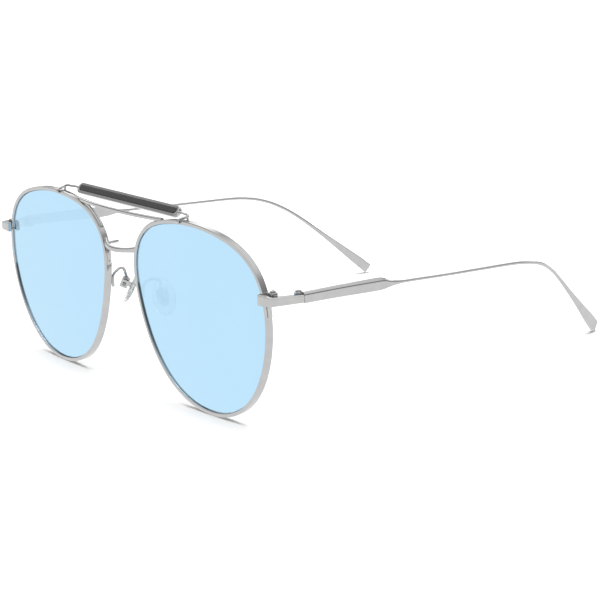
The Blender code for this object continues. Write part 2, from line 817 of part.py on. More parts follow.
def from_pad(facing, wide, length):
    axes = pad_axes()
    return Vector(PAD_BOX) + axes[0] * facing + axes[1] * wide + axes[2] * length


def pad_box_solid(low, high):
    corners = ((low[1], low[2]), (high[1], low[2]), (high[1], high[2]), (low[1], high[2]))
    return loft([[from_pad(facing, *corner) for corner in corners] for facing in (low[0], high[0])])


def pad_cylinder(radius, low, high, sides=12):
    """Cylinder along the pad's width, which is the axis that it rocks about."""
    rings = []
    for wide in (low, high):
        angles = [math.tau * i / sides for i in range(sides)]
        rings.append([from_pad(radius * math.cos(a), wide, radius * math.sin(a)) for a in angles])
    return loft(rings)


def pad_oval(scale, facing, count=28):
    """Egg-shaped outline, a little wider at the bottom."""
    points = []
    for i in range(count):
        angle = math.tau * i / count
        wide = (PAD_WIDE - 0.45 * math.sin(angle)) * scale * math.cos(angle)
        points.append(from_pad(facing, wide, PAD_LONG * scale * math.sin(angle) - PAD_DROP))
    return points


def core_plate(low, high, grow=0.0, arc_steps=8):
    """Plate with a square top and a round bottom, in the pad's frame, made larger by grow."""
    half = CORE_HALF_WIDTH + grow
    bottom, top = CORE_LENGTHS
    outline = [(half, top + grow), (-half, top + grow)]
    for step in range(arc_steps + 1):
        angle = math.pi + math.pi * step / arc_steps
        outline.append((half * math.cos(angle), bottom + CORE_HALF_WIDTH + half * math.sin(angle)))
    return loft([[from_pad(facing, *point) for point in outline] for facing in (low, high)])


def build_pad_arm(name, side, material):
    """Bent wire from the back of the rim, ending in a square foot on top of the box."""
    top = BOX_SIZE[2] / 2
    arm = wire_object(name, [*ARM_POINTS, from_pad(0.0, 0.0, top + ARM_FOOT)], ARM_WIRE, material, side)
    foot = pad_box_solid((-0.8, -0.8, top + 0.09), (0.8, 0.8, top + ARM_FOOT + 0.05))
    apply_boolean(arm, new_object(name + "_foot", foot, material, side), "UNION")


def build_nose_pad(prefix, side, materials):
    silver = materials["silver"]
    build_pad_arm(prefix + "_nose_pad_arm", side, silver)
    half = [size / 2 for size in BOX_SIZE]
    pad_box = new_object(prefix + "_pad_box", pad_box_solid([-h for h in half], half), silver, side)
    cut(pad_box, pad_box_solid((-0.7, -0.62, -1.05), (half[0] + 1.0, 0.62, 1.05)), side)
    cut(pad_box, pad_cylinder(PAD_SCREW + SCREW_CLEARANCE, -half[1] + 0.2, half[1] + 1.0), side)

    plate_low = PAD_REAR + 0.05
    plate_high = plate_low + CORE_PLATE
    stem = pad_box_solid((-0.55, -0.5, -0.62), (plate_low + 0.1, 0.5, 0.62))
    core = fuse(prefix + "_pad_core", [core_plate(plate_low, plate_high), stem], silver, side)
    cut(core, pad_cylinder(PAD_SCREW + SCREW_CLEARANCE, -3.0, 3.0), side)

    shaft = pad_cylinder(PAD_SCREW, -half[1] + 0.3, half[1] + 0.2)
    head = pad_cylinder(0.6, half[1] + 0.06, half[1] + 0.6)
    fuse(prefix + "_pad_screw", [head, shaft], materials["screw"], side)

    layers = ((0.90, 0.0), (1.0, 0.3), (0.97, 0.8), (0.78, 1.25), (0.4, PAD_THICK))
    body = loft([pad_oval(scale, PAD_REAR + height) for scale, height in layers])
    pad = new_object(prefix + "_nose_pad", body, materials["pad"], side)
    cut(pad, core_plate(PAD_REAR - 1.0, plate_high + CORE_GAP, CORE_GAP), side)
    return core, pad


# --- joints ---------------------------------------------------------------------------------------


def add_pivot(name, place, side, pieces):
    """Empty on a joint's axis that carries the pieces that move about it."""
    pivot = bpy.data.objects.new(name, None)
    pivot.location = Vector((place[0] * side, place[1] - DEPTH_CENTRE, place[2])) * MM
    bpy.context.scene.collection.objects.link(pivot)
    for piece in pieces:
        piece.data.transform(Matrix.Translation(-pivot.location))
        piece.parent = pivot


def main():
    clear_scene()
    materials = make_materials()
    silver = materials["silver"]
    envelopes = {name: rim_envelope(name + "_rim_envelope", side) for name, side in SIDES.items()}
    for prefix, side in SIDES.items():
        envelope = envelopes[prefix]
        build_rim(prefix + "_rim", side, silver)
        build_lens(prefix + "_lens", side, materials["lens"])
        build_endpiece(prefix + "_endpiece", side, silver, envelope)
        build_closing_blocks(prefix, side, materials, envelope)
        build_brow_clip(prefix + "_brow_clip", side, silver, envelope)
        temple_hinge = build_hinge(prefix, side, materials)
        temple = build_temple(prefix + "_temple", side, silver)
        core, pad = build_nose_pad(prefix, side, materials)
        hinge_axis = (HINGE_X, JOINT_Y, HINGE_BOTTOM + 1.5 * KNUCKLE + KNUCKLE_GAP)
        add_pivot(prefix + "_temple_pivot", hinge_axis, side, (temple, temple_hinge))
        add_pivot(prefix + "_pad_pivot", PAD_BOX, side, (core, pad))
    build_bridge(silver, envelopes)
    build_cross_bar(silver, envelopes)
    build_brow_bar(materials)


main()
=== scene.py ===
"""Studio scene of the aviator sunglasses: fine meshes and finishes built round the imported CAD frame.

Shapes are described in millimetres with Y = 0 at the front plane of the glasses and +X on the wearer's
left; `to_row` turns them into the frame's metres and mirrors the right half.
"""

import math

import bmesh
import bpy
import numpy as np
from mathutils import Matrix, Vector


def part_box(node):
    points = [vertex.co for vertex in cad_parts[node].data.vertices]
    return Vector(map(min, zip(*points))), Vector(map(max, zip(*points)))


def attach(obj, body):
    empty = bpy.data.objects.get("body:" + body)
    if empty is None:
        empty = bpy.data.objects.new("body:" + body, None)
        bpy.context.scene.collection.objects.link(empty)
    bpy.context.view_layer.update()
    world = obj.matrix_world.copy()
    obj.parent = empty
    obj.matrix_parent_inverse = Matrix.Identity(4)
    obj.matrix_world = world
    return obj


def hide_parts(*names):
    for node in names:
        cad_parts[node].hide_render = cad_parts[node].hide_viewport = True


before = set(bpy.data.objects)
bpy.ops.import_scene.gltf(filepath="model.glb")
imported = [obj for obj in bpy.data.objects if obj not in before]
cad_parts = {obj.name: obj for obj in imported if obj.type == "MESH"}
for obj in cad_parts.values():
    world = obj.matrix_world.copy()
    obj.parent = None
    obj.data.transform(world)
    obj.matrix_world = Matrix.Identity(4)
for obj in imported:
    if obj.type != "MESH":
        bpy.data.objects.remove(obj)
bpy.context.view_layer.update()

MM = 0.001
SIDES = {"left": 1.0, "right": -1.0}

# Y of the CAD endpiece's front corner, which fixes where Y = 0 is.
CAD_ENDPIECE_Y = 0.16
# Corners of the visible endpiece plate seen from above, as (x, y).
ENDPIECE_INNER = (67.03, 0.605)
ENDPIECE_OUTER = (71.7, 0.95)
ENDPIECE_BEND = (72.07, 1.02)
ENDPIECE_CORNER = (72.15, 1.3)
ENDPIECE_REAR = 2.7
ENDPIECE_END_REAR = 1.84
ENDPIECE_STEP_X = 68.9
FRONT_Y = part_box("left_endpiece")[0].y / MM - CAD_ENDPIECE_Y

# Lens outline: distance from the lens's centre to its edge every 30 degrees,
# starting at the temple side and going over the top.
LENS_RADII = (29.6, 29.6, 25.8, 24.25, 26.9, 31.4, 28.6, 27.5, 29.0, 30.35, 31.15, 30.05)
LENS_CENTRE_X = 38.18
LENS_CURVE = 399.0
LENS_THICKNESS = 1.2
LENS_RECESS = 0.55
LENS_BEVEL = 0.33
WRAP = math.radians(2.32)
TILT = math.radians(1.58)

# Rims.
RIM_WIDTH = 1.17
RIM_DEPTH = 2.05
RIM_ROUND = 0.2
GROOVE_DEPTH = 0.45
# How far the seat's painted shade reaches in front of the lens
SEAT_SHADE = 0.03
SPLIT_Z = 39.5
SPLIT_GAP = 0.25
RIM_STATIONS = 288

# Bars between the rims. Each bows forward in the middle: (y, z) there and at the ends.
BRIDGE = {
    "half": 8.6,
    "middle": (-2.0, 43.85),
    "end": (0.9, 44.5),
    "height": 1.5,
    "depth": 1.2,
    "flare": 0.25,
}
CROSS = {
    "half": 22.3,
    "middle": (-1.6, 55.78),
    "end": (0.95, 55.58),
    "height": 1.15,
    "depth": 1.2,
    "flare": 0.0,
}
# Corner radii of both bars' section: bottom front, top front, top rear, bottom rear
BAR_ROUNDS = (0.28, 0.45, 0.5, 0.4)
# Top and bottom of the strips that braze each bar to the rims
BRIDGE_STRIP = (45.5, 37.35)
CROSS_STRIP = (55.15, 48.35)
FOOT_THICKNESS = 0.25
FOOT_DEPTHS = (0.5, RIM_DEPTH - 0.4)
STUD_X = 6.5
STUD_RADIUS = 0.5
STUD_REAR_Y = 4.0

# Brow bar, its inlay and its clips.
BROW_HALF = 26.9
BROW_Y = 3.5
BROW_Z = 58.3
BROW_WIDTH = 3.55
BROW_THICKNESS = 1.6
BROW_LEAN = math.radians(38.0)
BROW_BACK_ROUND = 0.55
BROW_LIP_ROUND = 0.2
INLAY_WIDTH = 1.68
INLAY_DEPTH = 0.5
INLAY_HALF = 25.9
INLAY_GAP = 0.08
CLIP_X = 32.9
CLIP_WIRE = 0.39
CLIP_FOOT_Y = 2.55

# Endpieces, hinges and temples.
ENDPIECE_BEVEL = 0.35
PLATE = 1.4
JOINT_X = 74.0
JOINT_Y = 11.7
JOINT_SEAM = 0.04
JOINT_TOP = 40.42
JOINT_BOTTOM = 38.17
HINGE_X = 71.3
# (bottom, top) of the endpiece at its inner end, before its bend, after it, and at the hinge
ENDPIECE_HEIGHTS = ((38.19, 41.38), (38.44, 41.1), (38.45, 41.07), (JOINT_BOTTOM, JOINT_TOP))
# Small chamfer at the ends of a plate
END_INSET = 0.05
# (x, y) of the closing screw, and the heights of the heads of the closing and hinge screws
BLOCK_SCREW = (69.35, 4.35)
BLOCK_SCREW_HEAD = 0.42
HINGE_SCREW_HEAD = 0.36
# (y, x, z, half thickness, half height of the outer face, top bevel, other edges, corner radius)
TEMPLE_BLADE = (
    (JOINT_Y + JOINT_SEAM, 73.30, 39.25, 0.70, 1.16, 0.65, 0.12, 0.10),
    (25.0, 72.70, 38.53, 0.70, 1.25, 0.70, 0.12, 0.10),
    (39.5, 72.15, 37.60, 0.70, 1.33, 0.85, 0.12, 0.10),
    (41.5, 72.08, 37.50, 0.70, 1.25, 0.80, 0.12, 0.12),
    (46.0, 71.95, 37.15, 0.58, 0.45, 0.35, 0.25, 0.35),
)
# Narrow facet between the blade's outer face and its top bevel
CREASE = 0.3
CREASE_LEAN = math.tan(math.radians(14.0))
# (y, x, z, radius) along the round wire
TEMPLE_WIRE = (
    (51.0, 71.90, 36.85, 0.45),
    (67.0, 71.75, 35.75, 0.44),
    (81.0, 71.50, 34.90, 0.46),
    (96.0, 71.15, 33.90, 0.50),
    (103.3, 70.60, 32.75, 0.52),
    (109.2, 69.20, 30.95, 0.54),
    (115.6, 67.10, 27.55, 0.55),
)
TEMPLE_TIP = (
    (121.6, 64.90, 23.05, 0.55, 0.27, 0.31, 0.31, 0.45),
    (127.5, 62.90, 17.95, 0.56, 0.46, 0.24, 0.24, 0.30),
    (132.9, 61.20, 13.15, 0.62, 0.80, 0.20, 0.20, 0.22),
    (138.2, 59.50, 8.39, 0.75, 1.20, 0.18, 0.18, 0.18),
    (142.6, 58.10, 4.46, 0.92, 1.50, 0.18, 0.18, 0.16),
    (145.7, 57.15, 1.58, 0.92, 1.57, 0.18, 0.18, 0.16),
)

# Nose pads.
PAD_BOX = (10.35, 7.95, 29.86)
PAD_SPLAY = math.radians(30.0)
PAD_LEAN = math.radians(9.5)
PAD_FRONTAL = math.radians(46.0)
PAD_LONG = 6.1
PAD_WIDE = 3.55
PAD_THICK = 1.5
PAD_REAR = 2.1
PAD_DROP = 0.13
BOX_SIZE = (2.4, 2.3, 2.8)
PAD_SCREW = 0.33
# Sections of a pad from its rear up, as (share of its outline, height)
PAD_LAYERS = (
    (0.05, 0.0),
    (0.55, 0.0),
    (0.88, 0.0),
    (0.955, 0.04),
    (0.985, 0.14),
    (1.0, 0.3),
    (0.998, 0.42),
    (0.985, 0.62),
    (0.965, 0.8),
    (0.92, 0.97),
    (0.84, 1.14),
    (0.72, 1.28),
    (0.56, 1.39),
    (0.36, PAD_THICK - 0.04),
    (0.05, PAD_THICK),
)
ARM_WIRE = 0.45
ARM_FOOT = 0.42
ARM_POINTS = (
    (8.75, 2.62, 29.9),
    (8.72, 2.62, 32.6),
    (8.7, 3.1, 33.7),
    (8.8, 4.1, 34.4),
    (9.3, 5.4, 34.8),
    (9.8, 6.7, 34.75),
    (10.15, 7.7, 34.2),
    (10.05, 8.0, 33.2),
    (9.8, 8.15, 32.3),
)

# Camera: where it stands, in millimetres in the frame, and which way it looks, in degrees.
CAMERA_PLACE = (471.15, -374.65, 172.14)
CAMERA_AZIMUTH = 51.80
CAMERA_ELEVATION = 14.73
CAMERA_ROLL = -2.0
CAMERA_LENS = 114.34
CAMERA_SHIFT = -0.0007

# Studio. The table's corners are in metres. The tent's levels run from straight down (0) over the
# horizon (0.5) to straight up (1); it is bright on the side that the rear right corner faces.
TABLE = ((-8.0, -8.0), (8.0, -8.0), (8.0, 8.0), (-8.0, 8.0))
BRIGHT_LEVELS = (
    (0.49, 0.03),
    (0.51, 0.20),
    (0.58, 0.30),
    (0.64, 0.70),
    (0.70, 1.0),
    (0.74, 0.80),
    (0.79, 0.35),
    (0.88, 0.61),
    (1.0, 0.60),
)
DIM_LEVELS = (
    (0.49, 0.03),
    (0.51, 0.17),
    (0.565, 0.18),
    (0.625, 0.16),
    (0.76, 0.28),
    (0.83, 0.50),
    (0.88, 0.61),
    (1.0, 0.60),
)
BRIGHT_SIDE = (-0.707, 0.707, 0.0)
BRIGHT_SPAN = (0.45, 0.75)
TENT_STRENGTH = 1.7
OVERHEAD_POWER = 5.0
OVERHEAD_SPREAD = math.radians(50.0)


# --- materials --------------------------------------------------------------------------------


class Finish:
    """A Principled material and short ways to feed its sockets from procedural nodes."""

    def __init__(self, name, **values):
        self.material = bpy.data.materials.new(name)
        self.material.use_nodes = True
        self.tree = self.material.node_tree
        self.shader = self.tree.nodes["Principled BSDF"]
        for socket, value in values.items():
            self.shader.inputs[socket.replace("_", " ")].default_value = value
        self.place = self.tree.nodes.new("ShaderNodeTexCoord").outputs["Object"]

    def noise(self, scale, detail=3.0, stretch=(1.0, 1.0, 1.0), seed=0.0):
        """Noise with features of 1/scale metres, stretched along an axis where that is below 1."""
        mapping = self.tree.nodes.new("ShaderNodeMapping")
        mapping.inputs["Scale"].default_value = stretch
        mapping.inputs["Location"].default_value = (seed, seed, seed)
        texture = self.tree.nodes.new("ShaderNodeTexNoise")
        texture.inputs["Scale"].default_value = scale
        texture.inputs["Detail"].default_value = detail
        self.tree.links.new(self.place, mapping.inputs["Vector"])
        self.tree.links.new(mapping.outputs["Vector"], texture.inputs["Vector"])
        return texture.outputs["Fac"]

    def spread(self, source, low, high, start=0.3, end=0.7):
        """Numbers from low to high as the source goes from start to end."""
        ramp = self.tree.nodes.new("ShaderNodeMapRange")
        ramp.inputs["From Min"].default_value = start
        ramp.inputs["From Max"].default_value = end
        ramp.inputs["To Min"].default_value = low
        ramp.inputs["To Max"].default_value = high
        self.tree.links.new(source, ramp.inputs["Value"])
        return ramp.outputs["Result"]

    def colours(self, source, *stops):
        """A colour ramp through (position, (r, g, b)) stops, fed to the base colour."""
        ramp = self.tree.nodes.new("ShaderNodeValToRGB")
        elements = ramp.color_ramp.elements
        while len(elements) < len(stops):
            elements.new(0.5)
        for element, (position, colour) in zip(elements, stops):
            element.position = position
            element.color = (*colour, 1.0)
        self.tree.links.new(source, ramp.inputs["Fac"])
        self.tree.links.new(ramp.outputs["Color"], self.shader.inputs["Base Color"])

    def feed(self, socket, source):
        self.tree.links.new(source, self.shader.inputs[socket])

    def bump(self, source, strength, distance):
        node = self.tree.nodes.new("ShaderNodeBump")
        node.inputs["Strength"].default_value = strength
        node.inputs["Distance"].default_value = distance
        self.tree.links.new(source, node.inputs["Height"])
        self.tree.links.new(node.outputs["Normal"], self.shader.inputs["Normal"])


def silver_finish():
    """Polished silver plating: nearly clean, with hairlines and faint clouds."""
    finish = Finish("polished_silver", Metallic=1.0)
    clouds = finish.noise(260.0, 4.0)
    finish.colours(clouds, (0.3, (0.53, 0.53, 0.535)), (0.7, (0.58, 0.578, 0.572)))
    finish.feed("Roughness", finish.spread(finish.noise(900.0, 5.0, seed=3.0), 0.05, 0.13))
    finish.bump(finish.noise(5200.0, 2.0, (1.0, 0.15, 1.0), seed=7.0), 0.05, 0.00001)
    return finish.material


def screw_finish():
    """Turned steel, greyer and duller than the plating."""
    finish = Finish("turned_steel", Metallic=1.0)
    finish.colours(finish.noise(2500.0, 3.0), (0.3, (0.42, 0.42, 0.43)), (0.7, (0.60, 0.60, 0.60)))
    finish.feed("Roughness", finish.spread(finish.noise(4000.0), 0.18, 0.34))
    finish.bump(finish.noise(9000.0, 2.0, (1.0, 1.0, 0.2)), 0.12, 0.00001)
    return finish.material


def seat_painted_shade_finish():
    """The unpolished seat of the lens inside the rim, painted near black as the shade in the groove."""
    finish = Finish("rim_seat_painted_shade", Metallic=1.0)
    finish.colours(finish.noise(1500.0), (0.3, (0.015, 0.015, 0.017)), (0.7, (0.03, 0.03, 0.03)))
    finish.feed("Roughness", finish.spread(finish.noise(2500.0), 0.35, 0.55))
    return finish.material


def mirror_finish():
    """Pale ice-blue mirror coating that lets a little light through."""
    finish = Finish("ice_blue_mirror", Metallic=0.86, IOR=1.5)
    finish.shader.inputs["Transmission Weight"].default_value = 1.0
    coat = finish.noise(38.0, 2.0)
    finish.colours(coat, (0.25, (0.500, 0.775, 0.985)), (0.75, (0.510, 0.785, 0.99)))
    finish.feed("Roughness", finish.spread(finish.noise(1200.0, 3.0, seed=5.0), 0.015, 0.04))
    return finish.material


def lens_body_finish():
    """The tinted lens material behind the coating: its back and its edge."""
    finish = Finish("tinted_lens", IOR=1.5)
    finish.shader.inputs["Transmission Weight"].default_value = 1.0
    finish.colours(finish.noise(60.0, 2.0), (0.3, (0.80, 0.88, 0.92)), (0.7, (0.84, 0.91, 0.94)))
    finish.feed("Roughness", finish.spread(finish.noise(1500.0, 3.0, seed=2.0), 0.01, 0.03))
    return finish.material


def inlay_finish():
    """Satin dark grey plastic with a fine moulded grain."""
    finish = Finish("satin_inlay", Metallic=0.0)
    finish.colours(finish.noise(700.0, 4.0), (0.3, (0.018, 0.018, 0.019)), (0.7, (0.026, 0.026, 0.027)))
    finish.feed("Roughness", finish.spread(finish.noise(2400.0), 0.30, 0.42))
    finish.bump(finish.noise(6000.0), 0.10, 0.00002)
    return finish.material


def pad_finish():
    """Clear silicone with a frosted skin."""
    finish = Finish("frosted_silicone", IOR=1.42)
    finish.shader.inputs["Transmission Weight"].default_value = 0.85
    finish.colours(finish.noise(400.0, 3.0), (0.3, (0.86, 0.88, 0.87)), (0.7, (0.94, 0.95, 0.94)))
    finish.feed("Roughness", finish.spread(finish.noise(1800.0, 4.0, seed=4.0), 0.22, 0.38))
    finish.bump(finish.noise(7000.0, 3.0), 0.15, 0.00002)
    return finish.material


def floor_finish():
    """White table. The camera sees it lit and shaded; to the metal it is an evenly bright sheet."""
    finish = Finish("white_table", Roughness=0.9)
    finish.colours(finish.noise(20.0), (0.3, (0.64, 0.64, 0.64)), (0.7, (0.66, 0.66, 0.66)))
    finish.shader.inputs["Specular IOR Level"].default_value = 0.0
    nodes = finish.tree.nodes
    sheet = nodes.new("ShaderNodeEmission")
    mix = nodes.new("ShaderNodeMixShader")
    path = nodes.new("ShaderNodeLightPath")
    finish.tree.links.new(path.outputs["Is Camera Ray"], mix.inputs["Fac"])
    finish.tree.links.new(sheet.outputs["Emission"], mix.inputs[1])
    finish.tree.links.new(finish.shader.outputs["BSDF"], mix.inputs[2])
    finish.tree.links.new(mix.outputs["Shader"], nodes["Material Output"].inputs["Surface"])
    return finish.material


SILVER = silver_finish()
STEEL = screw_finish()
SEAT = seat_painted_shade_finish()
MIRROR = mirror_finish()
LENS_BODY = lens_body_finish()
INLAY = inlay_finish()
SILICONE = pad_finish()


# --- mesh building ------------------------------------------------------------------------------


def to_row(point, side=1.0):
    return Vector((point[0] * side, point[1] + FRONT_Y, point[2])) * MM


def new_piece(name, bm, materials, side=1.0, sharp=40.0, weighted=True):
    """Smooth-shaded object from a bmesh in millimetres, mirrored in X for the right side."""
    for vert in bm.verts:
        vert.co = to_row(vert.co, side)
    bmesh.ops.recalc_face_normals(bm, faces=bm.faces)
    mesh = bpy.data.meshes.new(name)
    bm.to_mesh(mesh)
    bm.free()
    for material in materials:
        mesh.materials.append(material)
    mesh.shade_smooth()
    mesh.set_sharp_from_angle(angle=math.radians(sharp))
    obj = bpy.data.objects.new(name, mesh)
    bpy.context.scene.collection.objects.link(obj)
    if weighted:
        add_weighted_normals(obj)
    return obj


def add_weighted_normals(obj):
    """Keeps flat faces flat to the light, with the turn of the surface left to the rounded edges."""
    modifier = obj.modifiers.new("weighted_normals", "WEIGHTED_NORMAL")
    modifier.keep_sharp = True


def add_bevel(obj, width, segments=3, angle=35.0):
    """Small rounded edges on a piece with flat faces, the width in millimetres."""
    modifier = obj.modifiers.new("edges", "BEVEL")
    modifier.width = width * MM
    modifier.segments = segments
    modifier.limit_method = "ANGLE"
    modifier.angle_limit = math.radians(angle)
    obj.modifiers.move(len(obj.modifiers) - 1, 0)


def loft(rings, closed=False, caps=True):
    """A skin over rings of points that all have the same count."""
    bm = bmesh.new()
    rows = [[bm.verts.new(point) for point in ring] for ring in rings]
    pairs = list(zip(rows, rows[1:]))
    if closed:
        pairs.append((rows[-1], rows[0]))
    for first, second in pairs:
        for i in range(len(first)):
            j = (i + 1) % len(first)
            bm.faces.new((first[i], first[j], second[j], second[i]))
    if caps and not closed:
        bm.faces.new(reversed(rows[0]))
        bm.faces.new(rows[-1])
    return bm


def joined(*bodies):
    """One bmesh from several."""
    result = bmesh.new()
    for body in bodies:
        mesh = bpy.data.meshes.new("part")
        body.to_mesh(mesh)
        body.free()
        result.from_mesh(mesh)
        bpy.data.meshes.remove(mesh)
    return result


def fillet(corners, radii, steps=4):
    """Closed flat outline with round corners. A corner between short sides gets a smaller radius."""
    result = []
    count = len(corners)
    if not hasattr(radii, "__len__"):
        radii = [radii] * count
    for i, radius in enumerate(radii):
        corner = Vector(corners[i])
        back = Vector(corners[i - 1]) - corner
        ahead = Vector(corners[(i + 1) % count]) - corner
        half = back.angle(ahead) / 2
        reach = min(radius / math.tan(half), back.length / 2, ahead.length / 2)
        start = corner + back.normalized() * reach
        end = corner + ahead.normalized() * reach
        for step in range(steps):
            t = (step + 0.5) / steps
            weights = ((1 - t) ** 2, 2 * t * (1 - t) * math.sin(half), t**2)
            mixed = start * weights[0] + corner * weights[1] + end * weights[2]
            result.append(mixed / sum(weights))
    return result


def circle(radius, count):
    angles = [math.tau * i / count for i in range(count)]
    return [(radius * math.cos(a), radius * math.sin(a)) for a in angles]


def smooth_points(points, steps):
    """Catmull-Rom points through a list, steps to each span."""
    rows = [np.array(point, float) for point in points]
    rows = [2 * rows[0] - rows[1], *rows, 2 * rows[-1] - rows[-2]]
    result = []
    for before, start, end, after in zip(rows, rows[1:], rows[2:], rows[3:]):
        for step in range(steps):
            t = step / steps
            bend = (2 * before - 5 * start + 4 * end - after) * t**2
            turn = (3 * start - before - 3 * end + after) * t**3
            result.append(0.5 * (2 * start + (end - before) * t + bend + turn))
    result.append(rows[-2])
    return result


def even_curve(rows, stations):
    """Rows interpolated by their first column with a cubic that never overshoots."""
    table = np.array(rows, float)
    knots = table[:, 0]
    gaps = np.diff(knots)[:, None]
    rises = np.diff(table, axis=0) / gaps
    slopes = np.zeros_like(table)
    product = rises[:-1] * rises[1:]
    mean = 2 * product / np.where(product > 0, rises[:-1] + rises[1:], 1.0)
    slopes[1:-1] = np.where(product > 0, mean, 0.0)
    slopes[0] = rises[0]
    slopes[-1] = rises[-1]
    result = []
    for value in stations:
        i = min(int(np.searchsorted(knots, value, side="right")) - 1, len(knots) - 2)
        t = (value - knots[i]) / gaps[i, 0]
        hermite = (2 * t**3 - 3 * t**2 + 1) * table[i] + (3 * t**2 - 2 * t**3) * table[i + 1]
        bend = (t**3 - 2 * t**2 + t) * slopes[i] + (t**3 - t**2) * slopes[i + 1]
        result.append(hermite + gaps[i, 0] * bend)
    return result


def tube(points, radius, sides=20, steps=8):
    """Round wire through points, with rounded ends."""
    path = [Vector(point) for point in smooth_points(points, steps)]
    last = len(path) - 1
    normal = (path[1] - path[0]).orthogonal()
    rings = []
    for i, centre in enumerate(path):
        along = (path[min(i + 1, last)] - path[max(i - 1, 0)]).normalized()
        normal = (normal - along * normal.dot(along)).normalized()
        across = along.cross(normal)
        turns = [(0.0, 0.0)]
        if i in (0, last):
            turns = [(0.0, 0.0), (0.5, 0.22), (0.85, 0.48)]
        ends = []
        for shrink, reach in turns:
            size = radius * math.sqrt(1.0 - shrink**2)
            centre_now = centre + along * (reach * radius * (1 if i else -1))
            ends.append([centre_now + normal * a + across * b for a, b in circle(size, sides)])
        rings += ends if i else ends[::-1]
    return loft(rings)


def turned(profile, frame_of, sides=40):
    """Solid of revolution: (radius, height) pairs, put in place by frame_of(a, b, height)."""
    return loft([[frame_of(a, b, height) for a, b in circle(radius, sides)] for radius, height in profile])


def upright(centre):
    """Frame for a turned piece that stands on a vertical axis."""
    return lambda a, b, height: Vector((centre[0] + a, centre[1] + b, height))


def prism(outline, low, high):
    return loft([[Vector((x, y, z)) for x, y in outline] for z in (low, high)])


def combine(obj, body, operation, side=1.0):
    """Boolean with a helper body that is then thrown away."""
    other = new_piece(obj.name + "_helper", body, [], side, weighted=False)
    modifier = obj.modifiers.new("boolean", "BOOLEAN")
    modifier.object = other
    modifier.operation = operation
    modifier.solver = "EXACT"
    obj.modifiers.move(len(obj.modifiers) - 1, 0)
    for later in obj.modifiers[1:]:
        later.show_viewport = False
    graph = bpy.context.evaluated_depsgraph_get()
    mesh = bpy.data.meshes.new_from_object(obj.evaluated_get(graph))
    obj.modifiers.remove(modifier)
    for later in obj.modifiers:
        later.show_viewport = True
    obj.data = mesh
    mesh.shade_smooth()
    mesh.set_sharp_from_angle(angle=math.radians(40.0))
    bpy.data.objects.remove(other)


def belongs(obj, body, slot, *nodes):
    """The piece rides on a body and stands for CAD nodes, which are hidden. The slot is not used."""
    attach(obj, body)
    if nodes:
        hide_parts(*nodes)


# --- lens and rim -------------------------------------------------------------------------------


def spline_slopes():
    """Slopes at the outline's points that make a closed cubic curve of one even bend."""
    count = len(LENS_RADII)
    radii = np.array(LENS_RADII)
    step = math.tau / count
    matrix = 4.0 * np.eye(count) + np.roll(np.eye(count), 1, axis=1) + np.roll(np.eye(count), -1, axis=1)
    rise = 3.0 * (np.roll(radii, -1) - np.roll(radii, 1)) / step
    return np.linalg.solve(matrix, rise)


SLOPES = spline_slopes()


def lens_radius(angle):
    count = len(LENS_RADII)
    step = math.tau / count
    turn = (angle % math.tau) / step
    start = int(turn) % count
    end = (start + 1) % count
    t = turn - int(turn)
    return (
        (2 * t**3 - 3 * t**2 + 1) * LENS_RADII[start]
        + (t**3 - 2 * t**2 + t) * step * SLOPES[start]
        + (3 * t**2 - 2 * t**3) * LENS_RADII[end]
        + (t**3 - t**2) * step * SLOPES[end]
    )


def outline_point(angle, offset=0.0):
    """Point on the lens's edge in its own plane, moved outward by offset."""
    radius = lens_radius(angle)
    ahead, behind = (lens_radius(angle + turn) for turn in (0.01, -0.01))
    along = Vector(
        (
            ahead * math.cos(angle + 0.01) - behind * math.cos(angle - 0.01),
            ahead * math.sin(angle + 0.01) - behind * math.sin(angle - 0.01),
        )
    ).normalized()
    return Vector((radius * math.cos(angle) + offset * along.y, radius * math.sin(angle) - offset * along.x))


def from_lens_plane(u, v, depth):
    """Lens-plane point to the design's space: curved, wrapped round the face, then tilted."""
    sag = (u * u + v * v) / (2.0 * LENS_CURVE) + depth
    x = u * math.cos(WRAP) - sag * math.sin(WRAP) + LENS_CENTRE_X
    y = u * math.sin(WRAP) + sag * math.cos(WRAP)
    return Vector((x, y * math.cos(TILT) - v * math.sin(TILT), y * math.sin(TILT) + v * math.cos(TILT)))


def lens_centre_height():
    """Height that puts the outline's lowest point at the bottom of the CAD lens."""
    middle = LENS_RECESS + LENS_THICKNESS / 2
    edge = [from_lens_plane(*outline_point(angle, LENS_BEVEL), middle).z for angle in ring_angles(720)]
    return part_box("left_lens")[0].z / MM - min(edge)


def ring_angles(count):
    return [math.tau * i / count for i in range(count)]


LENS_CENTRE_Z = lens_centre_height()


def rim_point(angle, offset, depth):
    flat = outline_point(angle, offset)
    return from_lens_plane(flat.x, flat.y, depth) + Vector((0.0, 0.0, LENS_CENTRE_Z))


def search(low, high, below):
    """Where a falling or rising test changes between low and high."""
    for _ in range(40):
        middle = (low + high) / 2
        low, high = (middle, high) if below(middle) else (low, middle)
    return (low + high) / 2


def angle_at_height(z, temple_side):
    low, high = (-0.6, 1.2) if temple_side else (math.pi + 0.3, math.pi / 2 + 0.2)
    return search(low, high, lambda angle: rim_point(angle, RIM_WIDTH, 0.0).z < z)


def angle_of_x(x):
    """Angle at which the rim's outer edge, over the top, reaches the given X."""
    low, high = math.radians(40.0), math.radians(150.0)
    return search(low, high, lambda angle: rim_point(angle, RIM_WIDTH, 0.0).x > x)


